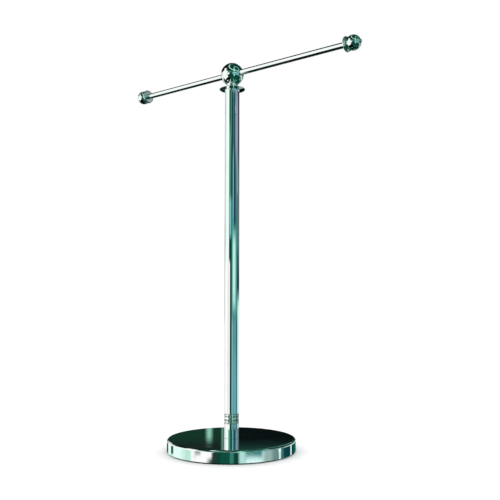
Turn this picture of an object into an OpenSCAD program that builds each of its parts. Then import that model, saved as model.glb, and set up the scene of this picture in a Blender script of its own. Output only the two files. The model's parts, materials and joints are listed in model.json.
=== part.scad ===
// T-bar headphone stand: a weighted round base, a tubular post and a sliding crossbar
// carried by a ball that swivels on top of the post.
// Origin: centre of the footprint, on the table. +Z up, +X along the crossbar. Millimetres.

/* [Base] */
// Diameter of the base
base_d = 99; // [90:1:120]
// Height of the base, from the table to its top face
base_h = 10; // [10:0.5:13]
// Sheet thickness of the plated base shell
shell_wall = 1.2; // [0.8:0.1:1.4]
// Outer radius of the shell's top edge
edge_r = 1.7; // [1.5:0.1:2.5]
// Thickness of the foam foot pad
pad_h = 1.6; // [1.2:0.1:1.8]

/* [Post] */
// Outside diameter of the post
post_d = 11.6; // [11.6:0.1:14]
// Wall thickness of the post tube
post_wall = 1; // [0.8:0.1:1.1]
// Height of the plain ferrule at the foot of the post
ferrule_h = 11.2; // [8:0.2:20]
// Height of the beaded ring above the ferrule
ring_h = 7.4; // [7.2:0.2:12]

/* [Head] */
// Height of the crossbar's axis above the table
bar_z = 297.6; // [220:0.1:360]
// Diameter of the ball that holds the crossbar
hub_d = 18.4; // [17:0.1:22]
// Distance from the crossbar's axis down to the middle of the flange disc
disc_drop = 12.3; // [12:0.1:16]
// Diameter of the flange disc under the ball
disc_d = 20.4; // [16:0.2:26]
// Thickness of the flange disc at its middle
disc_h = 1.2; // [0.8:0.1:1.4]
// Thickness of the flange disc at its rim
disc_rim_h = 0.3; // [0.3:0.1:0.6]

/* [Crossbar] */
// Diameter of the crossbar
bar_d = 4.4; // [4:0.1:5]
// Distance between the centres of the two end balls
bar_span = 212.7; // [120:0.1:260]
// How far the crossbar stands off centre in the ball, towards +X
bar_shift = 4.5; // [-20:0.1:20]
// Diameter of each end ball
end_ball_d = 11.2; // [10:0.1:14]
// Diameter of the collar behind each end ball
collar_d = 11.4; // [11:0.1:16]
// Thickness of that collar
collar_h = 1.9; // [1.2:0.1:2.2]

/* [Hidden] */
$fn = 96;

chrome = [0.80, 0.87, 0.85];
zinc_plate = [0.62, 0.64, 0.66];
cast_iron = [0.20, 0.21, 0.22];
foam = [0.06, 0.06, 0.065];
nylon = [0.90, 0.90, 0.86];
brass = [0.80, 0.64, 0.32];

tiny = 0.01;            // overshoot of a cut past the face it opens
play = 0.05;            // radial or axial clearance of a moving fit

// Base
base_r = base_d / 2;
rim_z = 0.5;            // the shell's rim stops this far above the table
rim_chamfer = 0.5;      // broken outer corner of that rim
pad_r = base_r - 3;
pad_hole_r = 12;        // leaves a way in for the hex key
weight_r = base_r - shell_wall - 0.3;
weight_top = base_h - shell_wall;
weight_chamfer = 1.2;

// The bolt that clamps base, ferrule, ring and tube together, drawn from its head upwards
bolt_d = 6;
bolt_pitch = 1;
bolt_clear_d = 6.4;
bolt_head_d = 10.5;
bolt_head_h = 3;
bolt_head_z = 1;        // the head's lower face, clear of the table
bolt_socket_af = 4;     // hexagon socket, across flats
spring_washer_h = 1.5;
spring_washer_d = 11.6;
flat_washer_h = 1.4;
flat_washer_d = 18;
spring_washer_z = bolt_head_z + bolt_head_h;
flat_washer_z = spring_washer_z + spring_washer_h;
counterbore_r = 10;
counterbore_z = flat_washer_z + flat_washer_h;
bolt_end_z = bolt_head_z + bolt_head_h + 35;

// Post
post_r = post_d / 2;
tube_in_r = post_r - post_wall;
ring_z = base_h + ferrule_h;
tube_z = ring_z + ring_h;
disc_z = bar_z - disc_drop - disc_h / 2;
insert_h = 14;
bush_h = 15;
bush_z = disc_z - bush_h;
end_chamfer = 0.25;     // breaks the edges where the stacked post pieces meet
bead_crown = 0.5;       // how far each bead's back stands above its edges
wide_bead_h = 3;
narrow_bead_h = 2;

// Swivel
stud_d = 5;
stud_pitch = 0.8;
swivel_washer_h = 0.8;
swivel_washer_d = 8;
swivel_washer_z = disc_z + disc_h + play;
neck_d = 8.6;
neck_z = swivel_washer_z + swivel_washer_h;
hub_r = hub_d / 2;
cross_bore_r = bar_d / 2 + play;
stud_top = bar_z - cross_bore_r - 1;
disc_bore_d = stud_d + 0.3;
cone_washer_h = 1;
cone_washer_d = 9;
cone_washer_z = bush_z - play - cone_washer_h;
nut_h = 5;
nut_af = 8;             // across flats
nut_z = cone_washer_z - nut_h;
stud_bottom = nut_z - 1.4;

// Grub screw that clamps the crossbar, from the back of the ball
grub_d = 3;
grub_pitch = 0.5;
grub_l = 5;
grub_y = bar_d / 2 + play;
grub_socket_af = 1.5;

// Crossbar and its ends; each end is drawn with its ball's centre at 0 and +X outwards
right_x = bar_span / 2 + bar_shift;
left_x = -(bar_span / 2 - bar_shift);
end_ball_r = end_ball_d / 2;
ball_seat = end_ball_r - 1.2;       // flat on the ball, facing the collar
head_seat = end_ball_r - 0.25;      // flat on the ball, under the screw's domed head
collar_out = ball_seat + collar_h;  // the collar's inner face
end_screw_d = 2.5;
end_screw_pitch = 0.45;
end_screw_bore_r = end_screw_d / 2 + 0.1;
end_screw_grip = 8;                 // length of thread in the crossbar
dome_r = 1.4;
bar_hole_depth = end_screw_grip + 1.5;

// ---- shared shapes -------------------------------------------------------------------

// Half section of a disc from z0 to z1 with its top outer edge rounded
module rounded_top_section(r, z0, z1, round_r) {
    translate([0, z0]) square([r, z1 - z0 - round_r]);
    translate([0, z0]) square([r - round_r, z1 - z0]);
    translate([r - round_r, z1 - round_r]) circle(round_r);
}

// Flat ring whose rim is fully rounded, standing on z = 0
module round_rim_disc(d, h, bore_d) {
    difference() {
        union() {
            cylinder(d = d - h, h = h);
            rotate_extrude() translate([(d - h) / 2, h / 2]) intersection() {
                circle(h / 2);
                translate([0, -h / 2]) square([h / 2, h]);
            }
        }
        translate([0, 0, -tiny]) cylinder(d = bore_d, h = h + 2 * tiny);
    }
}

// Sleeve with both outer edges broken, from z0 up
module sleeve(outer_d, bore_d, z0, h, chamfer) {
    r = outer_d / 2;
    translate([0, 0, z0]) rotate_extrude() polygon([
        [bore_d / 2, 0], [r - chamfer, 0], [r, chamfer],
        [r, h - chamfer], [r - chamfer, h], [bore_d / 2, h]
    ]);
}

// Outline of turned thread crests and roots from z0 to z1, as points going up the outside
function thread_points(d, pitch, z0, z1) =
    let (turns = floor((z1 - z0) / pitch), root_r = d / 2 - 0.61 * pitch)
    [for (i = [0 : turns - 1]) each [[d / 2, z0 + i * pitch], [root_r, z0 + (i + 0.5) * pitch]]];

module hexagon(across_flats, h) {
    cylinder(d = across_flats / cos(30), h = h, $fn = 6);
}

// ---- base ----------------------------------------------------------------------------

module foot_pad() {
    color(foam) sleeve(2 * pad_r, 2 * pad_hole_r, 0, pad_h, 0.3);
}

module base_weight() {
    color(cast_iron) rotate_extrude() polygon([
        [bolt_clear_d / 2, counterbore_z], [counterbore_r, counterbore_z], [counterbore_r, pad_h],
        [weight_r - 0.5, pad_h], [weight_r, pad_h + 0.5],
        [weight_r, weight_top - weight_chamfer], [weight_r - weight_chamfer, weight_top],
        [bolt_clear_d / 2, weight_top]
    ]);
}

module base_shell() {
    inner_r = base_r - shell_wall;
    color(chrome) rotate_extrude() difference() {
        rounded_top_section(base_r, rim_z, base_h, edge_r);
        rounded_top_section(inner_r, rim_z - 1, base_h - shell_wall, edge_r - shell_wall);
        translate([base_r, rim_z]) circle(rim_chamfer, $fn = 4);
        translate([0, base_h / 2]) square([bolt_clear_d / 2, base_h]);
    }
}

module base_bolt() {
    thread_z = tube_z - 2;
    color(zinc_plate) difference() {
        rotate_extrude() polygon(concat(
            [[0, bolt_head_z], [bolt_head_d / 2 - 1.2, bolt_head_z], [bolt_head_d / 2, bolt_head_z + 1.6],
             [bolt_head_d / 2, spring_washer_z], [bolt_d / 2, spring_washer_z]],
            thread_points(bolt_d, bolt_pitch, thread_z, bolt_end_z - 0.5),
            [[bolt_d / 2 - 0.6, bolt_end_z], [0, bolt_end_z]]
        ));
        translate([0, 0, bolt_head_z - tiny]) hexagon(bolt_socket_af, 2);
    }
}

module base_flat_washer() {
    color(zinc_plate) sleeve(flat_washer_d, bolt_clear_d, flat_washer_z, flat_washer_h, 0.2);
}

// Split ring; the slit is cut on the slant
module base_spring_washer() {
    color(zinc_plate) difference() {
        sleeve(spring_washer_d, bolt_d + 0.2, spring_washer_z, spring_washer_h, 0.1);
        translate([spring_washer_d / 4 + 1, 0, spring_washer_z + spring_washer_h / 2])
            rotate([30, 0, 0]) cube([spring_washer_d / 2, 0.6, 3 * spring_washer_h], center = true);
    }
}

// ---- post ----------------------------------------------------------------------------

module post_ferrule() {
    color(chrome) sleeve(post_d, bolt_clear_d, base_h, ferrule_h, end_chamfer);
}

// Half section of one bead: a round-backed band from z0 up, as high as h
module bead_section(z0, h) {
    back_r = (pow(h / 2, 2) + pow(bead_crown, 2)) / (2 * bead_crown);
    intersection() {
        translate([post_r - back_r, z0 + h / 2]) circle(back_r);
        translate([0, z0]) square([post_r, h]);
    }
}

// Turned ring: a wide bead between two narrow ones, with a shoulder at each end
module bead_ring() {
    middle_z = ring_z + ring_h / 2;
    shoulder_h = ring_h / 2 - wide_bead_h / 2 - narrow_bead_h;
    color(chrome) difference() {
        rotate_extrude() {
            bead_section(middle_z - wide_bead_h / 2, wide_bead_h);
            for (z = [middle_z - wide_bead_h / 2 - narrow_bead_h, middle_z + wide_bead_h / 2])
                bead_section(z, narrow_bead_h);
            for (z = [ring_z, ring_z + ring_h - shoulder_h])
                translate([0, z]) square([post_r - end_chamfer, shoulder_h]);
        }
        translate([0, 0, ring_z - tiny]) cylinder(d = bolt_clear_d, h = ring_h + 2 * tiny);
    }
}

module post_bottom_insert() {
    color(zinc_plate) sleeve(2 * tube_in_r, bolt_d, tube_z, insert_h, 0.4);
}

module post_tube() {
    color(chrome) sleeve(post_d, 2 * tube_in_r, tube_z, disc_z - tube_z, end_chamfer);
}

module post_top_bush() {
    color(brass) sleeve(2 * tube_in_r, stud_d + 2 * play, bush_z, bush_h, 0.4);
}

// Thin disc, flat where the tube meets it and tapering to its rim
module flange_disc() {
    rim_low = (disc_h - disc_rim_h) / 2;
    rim_high = disc_h - rim_low;
    color(chrome) translate([0, 0, disc_z]) rotate_extrude() polygon([
        [disc_bore_d / 2, 0], [post_r, 0], [disc_d / 2, rim_low],
        [disc_d / 2, rim_high], [post_r, disc_h], [disc_bore_d / 2, disc_h]
    ]);
}

// ---- head, which swivels on the post -------------------------------------------------

module swivel_washer() {
    color(nylon) sleeve(swivel_washer_d, disc_bore_d, swivel_washer_z, swivel_washer_h, 0.1);
}

// Coned spring washer that keeps the swivel stiff
module swivel_spring_washer() {
    sheet = 0.5;
    color(zinc_plate) translate([0, 0, cone_washer_z]) rotate_extrude() polygon([
        [stud_d / 2 + 0.1, cone_washer_h - sheet], [stud_d / 2 + 0.1, cone_washer_h],
        [cone_washer_d / 2, sheet], [cone_washer_d / 2, 0]
    ]);
}

// Self-locking nut: a hexagon with a round collar at its lower end
module swivel_nut() {
    collar = 1.4;
    color(zinc_plate) difference() {
        union() {
            translate([0, 0, nut_z]) cylinder(d = nut_af - 0.6, h = collar + tiny);
            intersection() {
                translate([0, 0, nut_z + collar]) hexagon(nut_af, nut_h - collar);
                translate([0, 0, nut_z + collar]) rotate_extrude() polygon([
                    [0, 0], [nut_af / 2, 0], [nut_af / 2 + 0.62, 0.36],
                    [nut_af / 2 + 0.62, nut_h - collar - 0.36], [nut_af / 2, nut_h - collar], [0, nut_h - collar]
                ]);
            }
        }
        translate([0, 0, nut_z - tiny]) cylinder(d = stud_d, h = nut_h + 2 * tiny);
    }
}

// Threaded at both ends, plain where it turns in the bush
module pivot_stud() {
    color(zinc_plate) rotate_extrude() polygon(concat(
        [[0, stud_bottom], [stud_d / 2 - 0.5, stud_bottom]],
        thread_points(stud_d, stud_pitch, stud_bottom + 0.5, cone_washer_z),
        [[stud_d / 2, cone_washer_z], [stud_d / 2, neck_z]],
        thread_points(stud_d, stud_pitch, neck_z + 0.4, stud_top - 0.5),
        [[stud_d / 2 - 0.5, stud_top], [0, stud_top]]
    ));
}

// Ball and neck in one, bored for the crossbar, the stud and the grub screw
module hub_ball() {
    color(chrome) difference() {
        union() {
            translate([0, 0, bar_z]) sphere(d = hub_d);
            translate([0, 0, neck_z]) cylinder(d = neck_d, h = bar_z - neck_z);
        }
        translate([-hub_r - 1, 0, bar_z]) rotate([0, 90, 0]) cylinder(r = cross_bore_r, h = hub_d + 2);
        translate([0, 0, neck_z - tiny]) cylinder(d = stud_d, h = stud_top - neck_z + tiny);
        translate([0, 0, bar_z]) rotate([-90, 0, 0]) cylinder(d = grub_d, h = hub_r + 1);
    }
}

module bar_grub_screw() {
    color(zinc_plate) translate([0, grub_y, bar_z]) rotate([-90, 0, 0]) difference() {
        rotate_extrude() polygon(concat(
            [[0, 0], [grub_d / 2 - 0.5, 0]],
            thread_points(grub_d, grub_pitch, 0.5, grub_l - 0.2),
            [[grub_d / 2 - 0.2, grub_l], [0, grub_l]]
        ));
        translate([0, 0, grub_l - 1.8]) hexagon(grub_socket_af, 2);
    }
}

// ---- crossbar, which slides through the ball -----------------------------------------

module crossbar() {
    from_x = left_x + collar_out;
    to_x = right_x - collar_out;
    color(chrome) translate([from_x, 0, bar_z]) rotate([0, 90, 0]) difference() {
        sleeve(bar_d, 0, 0, to_x - from_x, 0.3);
        translate([0, 0, -tiny]) cylinder(d = end_screw_d, h = bar_hole_depth);
        translate([0, 0, to_x - from_x - bar_hole_depth]) cylinder(d = end_screw_d, h = bar_hole_depth + tiny);
    }
}

// Places an end piece at the crossbar's right (+1) or left (-1) end
module at_end(side) {
    translate([side > 0 ? right_x : left_x, 0, bar_z]) rotate([0, side > 0 ? 0 : 180, 0]) children();
}

module end_collar() {
    color(chrome) translate([-collar_out, 0, 0]) rotate([0, 90, 0])
        round_rim_disc(collar_d, collar_h, 2 * end_screw_bore_r);
}

module end_ball() {
    color(chrome) intersection() {
        difference() {
            sphere(d = end_ball_d);
            translate([-end_ball_r - 1, 0, 0]) rotate([0, 90, 0]) cylinder(r = end_screw_bore_r, h = end_ball_d + 2);
        }
        translate([-ball_seat, -end_ball_d, -end_ball_d])
            cube([ball_seat + head_seat, 2 * end_ball_d, 2 * end_ball_d]);
    }
}

// Domed, slotted head outside; the shank runs through ball and collar into the crossbar
module end_screw() {
    shank = head_seat + collar_out + end_screw_grip;
    color(chrome) translate([head_seat, 0, 0]) rotate([0, 90, 0]) difference() {
        union() {
            intersection() {
                sphere(r = dome_r);
                cylinder(r = 2 * dome_r, h = 2 * dome_r);
            }
            translate([0, 0, -shank]) rotate_extrude() polygon(concat(
                [[0, 0], [end_screw_d / 2 - 0.4, 0]],
                thread_points(end_screw_d, end_screw_pitch, 0.4, end_screw_grip - 0.4),
                [[end_screw_d / 2, end_screw_grip - 0.4], [end_screw_d / 2, shank], [0, shank]]
            ));
        }
        translate([0, 0, dome_r]) cube([0.5, 4 * dome_r, 0.9], center = true);
    }
}

module right_collar() { at_end(1) end_collar(); }
module right_ball() { at_end(1) end_ball(); }
module right_end_screw() { at_end(1) end_screw(); }
module left_collar() { at_end(-1) end_collar(); }
module left_ball() { at_end(-1) end_ball(); }
module left_end_screw() { at_end(-1) end_screw(); }

// ---- output --------------------------------------------------------------------------

foot_pad();
base_weight();
base_shell();
base_bolt();
base_flat_washer();
base_spring_washer();
post_ferrule();
bead_ring();
post_bottom_insert();
post_tube();
post_top_bush();
flange_disc();
swivel_washer();
swivel_spring_washer();
swivel_nut();
pivot_stud();
hub_ball();
bar_grub_screw();
crossbar();
right_collar();
right_ball();
right_end_screw();
left_collar();
left_ball();
left_end_screw();
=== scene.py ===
"""Chrome headphone stand: studio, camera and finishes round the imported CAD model."""
import json
import math

import bmesh
import bpy
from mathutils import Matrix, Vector


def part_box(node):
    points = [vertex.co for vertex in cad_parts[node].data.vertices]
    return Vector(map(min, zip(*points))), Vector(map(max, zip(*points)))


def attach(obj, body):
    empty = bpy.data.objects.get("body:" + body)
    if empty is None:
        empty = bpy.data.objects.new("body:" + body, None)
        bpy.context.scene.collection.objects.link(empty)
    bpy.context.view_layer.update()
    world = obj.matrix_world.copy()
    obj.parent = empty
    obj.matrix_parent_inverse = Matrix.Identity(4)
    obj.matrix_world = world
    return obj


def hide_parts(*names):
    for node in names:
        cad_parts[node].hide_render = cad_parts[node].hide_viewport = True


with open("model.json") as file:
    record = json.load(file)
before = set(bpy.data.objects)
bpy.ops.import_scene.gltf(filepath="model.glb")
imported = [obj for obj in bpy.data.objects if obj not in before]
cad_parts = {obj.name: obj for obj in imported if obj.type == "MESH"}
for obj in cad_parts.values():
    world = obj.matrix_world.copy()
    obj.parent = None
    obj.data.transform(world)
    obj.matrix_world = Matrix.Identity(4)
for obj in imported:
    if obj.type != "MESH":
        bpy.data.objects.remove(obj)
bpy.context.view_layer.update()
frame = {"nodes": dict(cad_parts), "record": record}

MM = 0.001
nodes = frame["nodes"]
scene = bpy.context.scene

# ---- camera: from the right of the front, a little below the middle, looking up -------

CAMERA_AT = Vector((0.3449, -0.4245, 0.1084))
CAMERA_LOOKS = Vector((-0.6079, 0.7895, 0.0857))
CAMERA_LENS_MM = 50
CAMERA_SENSOR_MM = 36


def add_camera():
    data = bpy.data.cameras.new("camera")
    data.lens = CAMERA_LENS_MM
    data.sensor_width = CAMERA_SENSOR_MM
    data.clip_start = 10 * MM
    camera = bpy.data.objects.new("camera", data)
    camera.location = CAMERA_AT
    camera.rotation_euler = CAMERA_LOOKS.to_track_quat("-Z", "Y").to_euler()
    scene.collection.objects.link(camera)
    scene.camera = camera


# ---- node helpers ---------------------------------------------------------------------

class Graph:
    """Adds shader nodes to one node tree and links them as they are made."""

    def __init__(self, tree):
        self.tree = tree
        self.tree.nodes.clear()

    def add(self, kind, inputs=None, **settings):
        node = self.tree.nodes.new(kind)
        for name, value in settings.items():
            setattr(node, name, value)
        for name, value in (inputs or {}).items():
            self.plug(node.inputs[name], value)
        return node

    def plug(self, socket, value):
        if isinstance(value, bpy.types.NodeSocket):
            self.tree.links.new(value, socket)
        elif isinstance(value, tuple) and len(value) == 3 and socket.type == "RGBA":
            socket.default_value = (*value, 1)
        else:
            socket.default_value = value

    def math(self, operation, *values):
        node = self.add("ShaderNodeMath", operation=operation)
        for socket, value in zip(node.inputs, values):
            self.plug(socket, value)
        return node.outputs[0]

    def vector(self, operation, *values, output=0):
        node = self.add("ShaderNodeVectorMath", operation=operation)
        for socket, value in zip(node.inputs, values):
            self.plug(socket, value)
        return node.outputs[output]

    def degrees_from(self, ray, way):
        """Angle in degrees between a unit vector socket and a fixed unit vector."""
        angle = self.math("ARCCOSINE", self.vector("DOT_PRODUCT", ray, way, output=1))
        return self.math("MULTIPLY", angle, math.degrees(1))

    def mix(self, factor, a, b):
        """Colour a where factor is 0, colour b where it is 1."""
        node = self.add("ShaderNodeMix", data_type="RGBA")
        for index, value in ((0, factor), (6, a), (7, b)):
            self.plug(node.inputs[index], value)
        return node.outputs[2]

    def mix_shaders(self, factor, a, b):
        """Shader node a where factor is 0, shader node b where it is 1."""
        node = self.add("ShaderNodeMixShader")
        for socket, value in zip(node.inputs, (factor, a.outputs[0], b.outputs[0])):
            self.plug(socket, value)
        return node.outputs[0]

    def fade(self, value, full, none):
        """1 where value is at or past full, 0 at or past none, smooth between them."""
        node = self.add(
            "ShaderNodeMapRange", {"Value": value, "From Min": none, "From Max": full},
            interpolation_type="SMOOTHSTEP",
        )
        return node.outputs[0]


def srgb(r, g, b):
    """A display colour from 0 to 255 as linear light."""
    def linear(c):
        c /= 255
        return c / 12.92 if c <= 0.04045 else ((c + 0.055) / 1.055) ** 2.4
    return linear(r), linear(g), linear(b)


# ---- studio ---------------------------------------------------------------------------

# The chrome mirrors a room of coloured cards, and nothing else sees them. Bearings are in
# degrees round the post, seen from above: 0 towards the camera, positive to the camera's
# right, 180 behind the stand. Heights are degrees above the horizon.
WALLS = srgb(12, 62, 50)
FLOOR_BELOW = srgb(2, 16, 13)
FLOOR_EDGE = (-54, -46)  # heights between which the walls turn into the floor
FILL_LIGHT = 1.12        # strength of the plain white light on the floor and matt pieces
STUDIO_LIGHT = 1.07      # strength of the cards and ring lights
# (colour, bearing from, to, height from, to, softness in bearing, softness in height);
# a card hides those listed before it
CARDS = [
    # overhead: green light over the whole ceiling, with darker and lighter patches in it
    (srgb(26, 82, 67), -200, 200, 62, 120, 2, 44),
    (srgb(8, 46, 37), 66, 158, 44, 84, 30, 16),
    (srgb(46, 104, 88), 162, 192, 30, 62, 14, 14),
    (srgb(10, 10, 8), -178, -96, 30, 64, 4, 2),
    (srgb(8, 42, 34), -60, 40, 50, 80, 40, 16),
    # left side: dark floor, a grey wall, two top lights, a big white softbox in several
    # overlapping parts and a green flat far round
    (srgb(2, 16, 13), -176, -60, -95, -34, 8, 4),
    (srgb(206, 214, 211), -161, -104, -9.8, 22, 4, 4),
    (srgb(252, 252, 242), -96, -68, 20, 42, 4, 2),
    (srgb(248, 248, 238), -102, -80, 37, 46, 4, 2),
    (srgb(246, 243, 242), -161, -104, -9.8, 4, 4, 3),
    (srgb(238, 254, 249), -108, -52, -35, 24, 6, 4),
    (srgb(238, 254, 249), -58, -47, 2, 22, 8, 4),
    (srgb(252, 252, 252), -106, -54, -35, 4, 5, 4),
    (srgb(252, 252, 252), -58, -41, -13, -10.6, 12, 0.4),
    (srgb(252, 252, 252), -58, -32, -11.8, -10.6, 8, 0.5),
    (srgb(252, 252, 252), -58, -30, -10.9, 4, 4, 0.6),
    (srgb(212, 210, 207), -64, -50, -9, 4, 6, 4),
    (srgb(58, 104, 90), -190, -147, -1, 7.5, 4, 2),
    # low on the left: mint and dark strips that the base's wall mirrors
    (srgb(222, 252, 243), -152, -97, -13, -9.8, 6, 0.5),
    (srgb(20, 66, 52), -185, -152, -13, -9.8, 8, 0.5),
    (srgb(30, 72, 60), -134, -124, -11.4, -9.8, 4, 0.3),
    (srgb(206, 240, 228), -98, -86, -13, -9.8, 4, 0.5),
    (srgb(186, 232, 212), -88, -75, -13, -9.8, 5, 0.5),
    (srgb(150, 157, 153), -67, -55, -11.5, -9.8, 6, 0.3),
    # green flats in front and to its left, the last three low down for the base's wall
    (srgb(84, 132, 118), -26, -8, 14, 20, 6, 2),
    (srgb(88, 142, 124), -44, -14, 11.5, 15, 8, 1.5),
    (srgb(88, 150, 134), -50, -22, 7, 12.5, 8, 1.5),
    (srgb(18, 88, 76), -22, 10, 7, 12.5, 4, 2),
    (srgb(140, 212, 208), -36, -20, 6, 9.2, 6, 0.8),
    (srgb(54, 132, 134), -20, 10, 6, 9.2, 4, 0.8),
    (srgb(38, 56, 50), -34, -26, -13, -9.8, 6, 0.5),
    (srgb(16, 76, 62), -19, -4, -13, -9.8, 6, 0.5),
    (srgb(52, 122, 108), -3, 4, -13, -9.8, 4, 0.5),
    # teal, navy and lavender flats on the right, paler low down and grey far round
    (srgb(60, 112, 116), 12, 29, 12, 22, 4, 2),
    (srgb(110, 176, 178), 12, 29, 7, 13, 3, 2),
    (srgb(92, 156, 168), 5, 58, -9.6, -0.5, 6, 2),
    (srgb(126, 184, 180), -1, 13, -9.6, -0.5, 4, 2),
    (srgb(112, 172, 188), 48, 70, -9.6, -0.5, 12, 2),
    (srgb(76, 120, 134), 66, 86, -9.6, -0.5, 10, 2),
    (srgb(18, 62, 70), 65, 80, -4.5, 0.5, 8, 4),
    (srgb(52, 112, 122), 31, 43, -3.5, 0, 4, 2),
    (srgb(84, 158, 150), -1, 84, -0.5, 7, 8, 1.5),
    (srgb(184, 236, 226), 14, 58, 0.4, 6, 6, 2),
    (srgb(164, 196, 200), 90, 106, -9.6, 1, 10, 2),
    (srgb(214, 240, 232), 106, 163, -9.6, 1, 8, 2),
    (srgb(12, 58, 80), 29, 46, 12, 22, 3, 2),
    (srgb(0, 42, 56), 29, 46, 7, 13, 3, 2),
    (srgb(106, 140, 166), 46, 64, 12, 22, 4, 3),
    (srgb(48, 92, 110), 46, 62, 7, 13, 4, 3),
    (srgb(86, 122, 134), 62, 80, 7, 13, 6, 3),
    (srgb(140, 152, 170), 62, 82, 12, 22, 6, 3),
    (srgb(158, 204, 196), 4, 52, 17.9, 21.5, 6, 0.5),
    (srgb(156, 160, 168), 80, 100, 12, 18, 6, 3),
    (srgb(132, 160, 164), 80, 100, 9, 13, 6, 2),
    (srgb(70, 114, 112), 80, 100, 5, 9.5, 6, 1),
    (srgb(60, 66, 72), 100, 174, 2, 24, 8, 4),
    (srgb(98, 120, 118), 100, 140, 4, 12, 8, 3),
    # low on the right: aqua light for the base's wall, with two narrow white strips beyond it
    (srgb(8, 62, 66), 92, 174, -13, -9.8, 16, 0.5),
    (srgb(104, 138, 136), 68, 100, -13, -9.8, 14, 0.5),
    (srgb(148, 176, 171), 50, 76, -13, -9.8, 12, 0.5),
    (srgb(222, 255, 251), 22, 56, -13, -9.8, 14, 0.5),
    (srgb(176, 220, 213), 13, 25, -13, -9.8, 6, 0.5),
    (srgb(52, 126, 124), 24, 55, -11.7, -9.8, 8, 0.7),
    (srgb(222, 255, 252), 90, 97, -11.2, -9.6, 3, 0.5),
    (srgb(222, 255, 252), 92, 96, -13, -10.9, 3, 0.5),
    (srgb(228, 252, 248), 128.5, 133.5, -13, -9.6, 3, 0.5),
    (srgb(24, 100, 82), 148, 185, -13, -9.8, 8, 0.5),
    # low behind the stand: dark flats and a grey one that the flange disc's underside mirrors
    (srgb(4, 14, 16), 165, 195, -40, -3, 2, 2),
    (srgb(28, 50, 43), -180, -164, -30, -12, 1, 4),
    (srgb(160, 176, 174), 160, 180, -30, -22.5, 1, 2),
    # higher behind it: dark flats that the base's top mirrors, with two thin mint strips
    (srgb(20, 52, 40), -181, -166, 3, 26, 2, 4),
    (srgb(24, 36, 32), -181, -166, 10.5, 26, 2, 0.9),
    (srgb(8, 17, 17), 166, 180.5, 3, 26, 0.6, 4),
    (srgb(32, 70, 64), 166, 180.5, 11, 14, 0.6, 1.6),
    (srgb(140, 196, 174), -178.4, -178.0, 3, 10.4, 0.4, 0.9),
    (srgb(100, 146, 130), -179.34, -179.2, 3, 26, 0.18, 1),
    # softboxes behind the stand, above and below what the post and the base mirror
    (srgb(84, 130, 116), 148, 163, -62, -14, 4, 3),
    (srgb(104, 156, 140), 148, 163, 19, 50, 4, 3),
    (srgb(44, 96, 80), -163, -140, -44, -14, 8, 5),
    (srgb(148, 174, 166), 104, 122, -28, -14, 6, 5),
    # on the floor: a green patch in front on the right and a dark one on the left
    (srgb(22, 80, 66), -20, 100, -82, -46, 20, 12),
    (srgb(5, 6, 6), -136, -36, -95, -34, 6, 3),
    # an upright strip light beside the camera, in two lengths
    (srgb(172, 236, 212), 15, 27, 22, 46, 3, 2),
    (srgb(172, 236, 212), 15, 27, -30, -15, 3, 2),
]
# (colour, bearing, height, radius, width, bearing of the lit arc's middle, its reach to
# either side)
RING_LIGHTS = [
    (srgb(204, 248, 234), 50, 62, 43, 7, -62, 78),
    (srgb(140, 214, 188), 51, 44, 21, 7, 51, 180),
]
ARC_SOFTNESS = 12


def aim(bearing, height):
    """Unit vector towards a bearing and height in degrees."""
    bearing, height = math.radians(bearing), math.radians(height)
    front = Vector((CAMERA_AT.x, CAMERA_AT.y, 0)).normalized()
    right = Vector((-front.y, front.x, 0))
    way = (front * math.cos(bearing) + right * math.sin(bearing)) * math.cos(height)
    return way.x, way.y, math.sin(height)


def hang_card(graph, level, height, colour, card):
    """Lays one card over the colour of the room so far."""
    paint, left_edge, right_edge, low, high, soft, soft_height = card
    half = (right_edge - left_edge) / 2
    off = graph.degrees_from(level, aim((left_edge + right_edge) / 2, 0))
    across = graph.fade(off, half - soft / 2, half + soft / 2)
    tall = (high - low) / 2
    rise = graph.math("ABSOLUTE", graph.math("SUBTRACT", height, (low + high) / 2))
    up = graph.fade(rise, tall - soft_height / 2, tall + soft_height / 2)
    return graph.mix(graph.math("MULTIPLY", across, up), colour, paint)


def hang_ring(graph, ray, level, colour, ring):
    """Lays the lit arc of one ring light over the colour of the room so far."""
    light, bearing, ring_height, radius, width, arc_bearing, arc_reach = ring
    off = graph.math("SUBTRACT", graph.degrees_from(ray, aim(bearing, ring_height)), radius)
    line = graph.fade(graph.math("ABSOLUTE", off), width / 4, width / 2)
    turn = graph.degrees_from(level, aim(arc_bearing, 0))
    arc = graph.fade(turn, arc_reach - ARC_SOFTNESS / 2, arc_reach + ARC_SOFTNESS / 2)
    return graph.mix(graph.math("MULTIPLY", line, arc), colour, light)


def add_studio_world():
    world = bpy.data.worlds.new("studio")
    scene.world = world
    world.use_nodes = True
    graph = Graph(world.node_tree)
    ray = graph.add("ShaderNodeTexCoord").outputs["Generated"]
    split = graph.add("ShaderNodeSeparateXYZ", {0: ray})
    height = graph.math("MULTIPLY", graph.math("ARCSINE", split.outputs["Z"]), math.degrees(1))
    level = graph.vector("NORMALIZE", graph.vector("MULTIPLY", ray, (1, 1, 0)))
    colour = graph.mix(graph.fade(height, *FLOOR_EDGE), WALLS, FLOOR_BELOW)
    for card in CARDS:
        colour = hang_card(graph, level, height, colour, card)
    for ring in RING_LIGHTS:
        colour = hang_ring(graph, ray, level, colour, ring)
    path = graph.add("ShaderNodeLightPath")
    # the camera sees the backdrop at a strength of 1, which is plain white
    dimming = graph.math("MULTIPLY", path.outputs["Is Camera Ray"], FILL_LIGHT - 1)
    fill_strength = graph.math("SUBTRACT", FILL_LIGHT, dimming)
    fill = graph.add("ShaderNodeBackground", {"Color": (1, 1, 1), "Strength": fill_strength})
    studio = graph.add("ShaderNodeBackground", {"Color": colour, "Strength": STUDIO_LIGHT})
    world_light = graph.mix_shaders(path.outputs["Is Glossy Ray"], fill, studio)
    graph.add("ShaderNodeOutputWorld", {"Surface": world_light})


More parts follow.
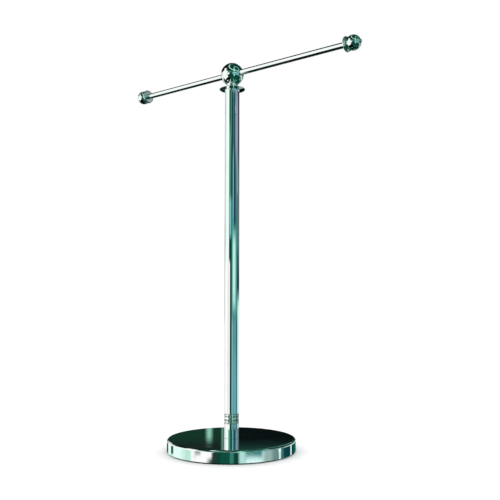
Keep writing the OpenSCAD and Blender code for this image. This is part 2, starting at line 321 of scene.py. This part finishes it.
FLOOR_REACH = 6  # metres from the stand to each edge
FLOOR_COLOUR = (0.98, 0.98, 0.98)


def add_floor():
    """A pale floor that mirrors don't see and that is clear from below."""
    mesh = bpy.data.meshes.new("floor")
    square = ((-1, -1), (1, -1), (1, 1), (-1, 1))
    corners = [(x * FLOOR_REACH, y * FLOOR_REACH, 0) for x, y in square]
    mesh.from_pydata(corners, [], [(0, 1, 2, 3)])
    floor = bpy.data.objects.new("floor", mesh)
    floor.visible_glossy = False
    scene.collection.objects.link(floor)
    material = bpy.data.materials.new("floor")
    material.use_nodes = True
    graph = Graph(material.node_tree)
    paint = graph.add("ShaderNodeBsdfDiffuse", {"Color": FLOOR_COLOUR})
    clear = graph.add("ShaderNodeBsdfTransparent")
    from_below = graph.add("ShaderNodeNewGeometry").outputs["Backfacing"]
    graph.add("ShaderNodeOutputMaterial", {"Surface": graph.mix_shaders(from_below, paint, clear)})
    mesh.materials.append(material)


# ---- finishes: base colours, roughness and bump all vary over the surface ----------------

NOISE_ROUGHNESS = 0.55
EDGE_SAMPLES = 6
EDGE_ALIKE = (0.86, 0.995)  # cosine between true and rounded normals, at an edge and off it
ROUND_THE_POST = (1, 1, 60)  # stretches that turn noise into fine lines
ALONG_THE_BAR = (60, 1, 1)


class Finish(Graph):
    """A new material with its metre coordinates, noise helpers and one Principled shader."""

    def __init__(self, name):
        self.material = bpy.data.materials.new(name)
        self.material.use_nodes = True
        super().__init__(self.material.node_tree)
        self.at = self.add("ShaderNodeTexCoord").outputs["Object"]

    def noise(self, size, detail=3, stretch=(1, 1, 1)):
        """Noise from 0 to 1 whose features are about size metres across."""
        at = self.vector("MULTIPLY", self.at, stretch)
        inputs = {"Vector": at, "Scale": 1 / size, "Detail": detail, "Roughness": NOISE_ROUGHNESS}
        return self.add("ShaderNodeTexNoise", inputs).outputs["Fac"]

    def cells(self, size):
        """Distance from the nearest cell centre, 0 at the centre."""
        node = self.add("ShaderNodeTexVoronoi", {"Vector": self.at, "Scale": 1 / size})
        return node.outputs["Distance"]

    def edges(self, width):
        """1 along sharp edges, 0 on open faces."""
        bevel = self.add("ShaderNodeBevel", {"Radius": width}, samples=EDGE_SAMPLES)
        normal = self.add("ShaderNodeNewGeometry").outputs["Normal"]
        alike = self.vector("DOT_PRODUCT", bevel.outputs["Normal"], normal, output=1)
        return self.fade(alike, *EDGE_ALIKE)

    def between(self, factor, low, high):
        """A factor from 0 to 1 as a value from low to high."""
        node = self.add("ShaderNodeMapRange", {"Value": factor, "To Min": low, "To Max": high})
        return node.outputs[0]

    def bump(self, height, depth, under=None, strength=1.0):
        """A bumpy normal, depth metres deep, on top of another bump if one is given."""
        inputs = {"Height": height, "Distance": depth, "Strength": strength}
        if under is not None:
            inputs["Normal"] = under
        return self.add("ShaderNodeBump", inputs).outputs["Normal"]

    def surface(self, **inputs):
        """Makes the shader from its socket names, with _ for a space, and returns the material."""
        inputs = {name.replace("_", " "): value for name, value in inputs.items()}
        shader = self.add("ShaderNodeBsdfPrincipled", inputs)
        self.add("ShaderNodeOutputMaterial", {"Surface": shader.outputs[0]})
        return self.material


def chrome(name, polished):
    """Mirror chrome with faint polishing lines, handling marks and dulled edges."""
    clean, handled, dulled = srgb(248, 250, 250), srgb(234, 240, 239), srgb(206, 200, 186)
    graph = Finish(name)
    marks = graph.fade(graph.noise(14 * MM, detail=5), 0.72, 0.50)
    haze = graph.noise(1.6 * MM, detail=2)
    worn = graph.math("MULTIPLY", graph.edges(0.4 * MM), graph.fade(graph.noise(3 * MM), 0.62, 0.42))
    colour = graph.mix(graph.between(marks, 0, 0.5), clean, handled)
    colour = graph.mix(graph.between(worn, 0, 0.35), colour, dulled)
    rough = graph.math("ADD", graph.between(haze, 0.012, 0.03), graph.between(marks, 0, 0.035))
    rough = graph.math("ADD", rough, graph.between(worn, 0, 0.1))
    lines = graph.bump(graph.noise(12 * MM, detail=2, stretch=polished), 0.0004 * MM)
    ripple = graph.bump(graph.noise(9 * MM, detail=1), 0.0025 * MM, under=lines)
    return graph.surface(Base_Color=colour, Metallic=1.0, Roughness=rough, Normal=ripple)


def zinc_plate():
    """Bright zinc: a soft grainy metal, patchy between blue and straw."""
    blue, straw, rubbed = srgb(196, 202, 208), srgb(206, 203, 190), srgb(228, 230, 232)
    graph = Finish("zinc_plate")
    grain = graph.noise(0.35 * MM, detail=4)
    edge = graph.edges(0.25 * MM)
    colour = graph.mix(graph.noise(3 * MM), blue, straw)
    colour = graph.mix(graph.between(edge, 0, 0.6), colour, rubbed)
    rough = graph.math("SUBTRACT", graph.between(grain, 0.28, 0.46), graph.between(edge, 0, 0.1))
    bumps = graph.bump(grain, 0.006 * MM)
    return graph.surface(Base_Color=colour, Metallic=1.0, Roughness=rough, Normal=bumps)


def cast_iron():
    """Sand-cast iron, sealed dark, with a few rusty pits."""
    dark, worn, rusty = srgb(48, 50, 52), srgb(70, 70, 70), srgb(104, 62, 40)
    graph = Finish("cast_iron")
    sand = graph.noise(1.1 * MM, detail=6)
    rust = graph.fade(graph.noise(6 * MM, detail=5), 0.70, 0.58)
    colour = graph.mix(graph.noise(12 * MM), dark, worn)
    colour = graph.mix(graph.between(rust, 0, 0.7), colour, rusty)
    rough = graph.math("ADD", graph.between(sand, 0.5, 0.75), graph.between(rust, 0, 0.15))
    pits = graph.bump(graph.cells(1.4 * MM), 0.05 * MM, strength=0.6)
    grit = graph.bump(sand, 0.12 * MM, under=pits)
    return graph.surface(Base_Color=colour, Metallic=0.55, Roughness=rough, Normal=grit)


def foam():
    """Closed-cell foam rubber, charcoal, with open cells at the cut faces, painted shade in the
    hollow of each cell, and some dust.
    """
    dark, faded = srgb(30, 30, 32), srgb(46, 46, 49)
    # the first colour is painted shade for the hollows of the cells; the second is dust
    painted_pore_shade, dusty = srgb(22, 22, 24), srgb(120, 118, 114)
    graph = Finish("foam")
    cells = graph.cells(0.45 * MM)
    dust = graph.fade(graph.noise(4 * MM, detail=5), 0.74, 0.56)
    colour = graph.mix(graph.noise(10 * MM), dark, faded)
    # painted shade: each cell darker towards its middle, where the bump below dips into a hollow
    colour = graph.mix(graph.fade(cells, 0.0, 0.45), colour, painted_pore_shade)
    colour = graph.mix(graph.between(dust, 0, 0.3), colour, dusty)
    rough = graph.between(graph.noise(0.8 * MM), 0.78, 0.95)
    crumbs = graph.bump(graph.noise(0.9 * MM), 0.08 * MM)
    skin = graph.bump(cells, 0.07 * MM, under=crumbs)
    return graph.surface(Base_Color=colour, Roughness=rough, Specular_IOR_Level=0.3, Normal=skin)


def nylon():
    """Natural nylon, cloudy off-white."""
    cloudy, clear = srgb(232, 230, 218), srgb(244, 243, 236)
    graph = Finish("nylon")
    colour = graph.mix(graph.noise(2 * MM), cloudy, clear)
    rough = graph.between(graph.noise(0.5 * MM), 0.38, 0.55)
    grain = graph.bump(graph.noise(0.4 * MM), 0.004 * MM)
    return graph.surface(
        Base_Color=colour, Roughness=rough, Normal=grain,
        Subsurface_Weight=0.12, Subsurface_Scale=1 * MM,
    )


def brass():
    """Turned brass with tool lines and a little tarnish."""
    bright, tarnished = srgb(226, 196, 120), srgb(168, 132, 70)
    graph = Finish("brass")
    tarnish = graph.fade(graph.noise(4 * MM, detail=4), 0.70, 0.45)
    colour = graph.mix(graph.between(tarnish, 0, 0.6), bright, tarnished)
    rough = graph.between(tarnish, 0.16, 0.36)
    lines = graph.bump(graph.noise(12 * MM, detail=2, stretch=ROUND_THE_POST), 0.003 * MM)
    return graph.surface(Base_Color=colour, Metallic=1.0, Roughness=rough, Normal=lines)


# ---- foot pad: a die-cut foam ring, crowned at its edges ---------------------------------

PAD_TURNS = 240
PAD_STEPS = 7          # points round each rounded edge
PAD_EDGE = 0.55 * MM   # how far the rounding reaches in
PAD_WAVER = 0.07 * MM  # how unevenly the ring was cut
PAD_WAVES = ((0.3, 5, 1), (0.2, 23, 0))  # share of the waver, waves in a turn, phase


def pad_section(inner, outer, top):
    """Closed outline of the ring's cross-section as (radius, height), from the inner edge."""
    middle = top / 2
    points = []
    for side, radius in ((-1, inner), (1, outer)):
        for step in range(PAD_STEPS):
            turn = math.pi * (step / (PAD_STEPS - 1) - 0.5)
            reach = PAD_EDGE * (1 - math.cos(turn)) * side
            points.append((radius - reach, middle + side * middle * math.sin(turn)))
    return points


def pad_waver(angle):
    """How far the cut strays into the ring at this angle, from 0 to PAD_WAVER."""
    waves = sum(share * math.sin(count * angle + phase) for share, count, phase in PAD_WAVES)
    return PAD_WAVER * (0.5 + waves)


def pad_mesh(inner, outer, top):
    """The ring as a mesh: its section carried round the post's axis."""
    section = pad_section(inner, outer, top)
    mesh = bmesh.new()
    rings = []
    for turn in range(PAD_TURNS):
        angle = 2 * math.pi * turn / PAD_TURNS
        waver = pad_waver(angle)
        ring = []
        for radius, height in section:
            out = radius - waver if radius > (inner + outer) / 2 else radius + waver
            ring.append(mesh.verts.new((out * math.cos(angle), out * math.sin(angle), height)))
        rings.append(ring)
    for here, after in zip(rings, rings[1:] + rings[:1]):
        for i in range(len(section)):
            j = (i + 1) % len(section)
            mesh.faces.new((here[i], after[i], after[j], here[j]))
    bmesh.ops.recalc_face_normals(mesh, faces=mesh.faces)
    for face in mesh.faces:
        face.smooth = True
    data = bpy.data.meshes.new("foam_foot_pad")
    mesh.to_mesh(data)
    mesh.free()
    return data


def add_foot_pad(material):
    outer, _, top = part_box("foot_pad")[1]
    inner = min(math.hypot(v.co.x, v.co.y) for v in nodes["foot_pad"].data.vertices)
    data = pad_mesh(inner, outer, top)
    data.materials.append(material)
    pad = bpy.data.objects.new("foam_foot_pad", data)
    scene.collection.objects.link(pad)
    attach(pad, "stand")
    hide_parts("foot_pad")


# ---- put together ----------------------------------------------------------------------

def finish_nodes(finishes, bar_chrome):
    """Gives every CAD node the finish of its material slot, and the bar its own chrome."""
    slots = {row["node"]: row["material_slot"] for row in frame["record"]["subparts"]}
    for name, node in nodes.items():
        on_the_bar = name == "crossbar" or name.startswith(("left_", "right_"))
        node.data.materials.clear()
        node.data.materials.append(bar_chrome if on_the_bar else finishes[slots[name]])


add_camera()
add_studio_world()
add_floor()
scene.view_settings.view_transform = "Standard"

finishes = {
    "chrome": chrome("chrome", ROUND_THE_POST), "zinc_plate": zinc_plate(),
    "cast_iron": cast_iron(), "nylon": nylon(), "brass": brass(), "foam": foam(),
}
add_foot_pad(finishes["foam"])
finish_nodes(finishes, chrome("chrome_bar", ALONG_THE_BAR))
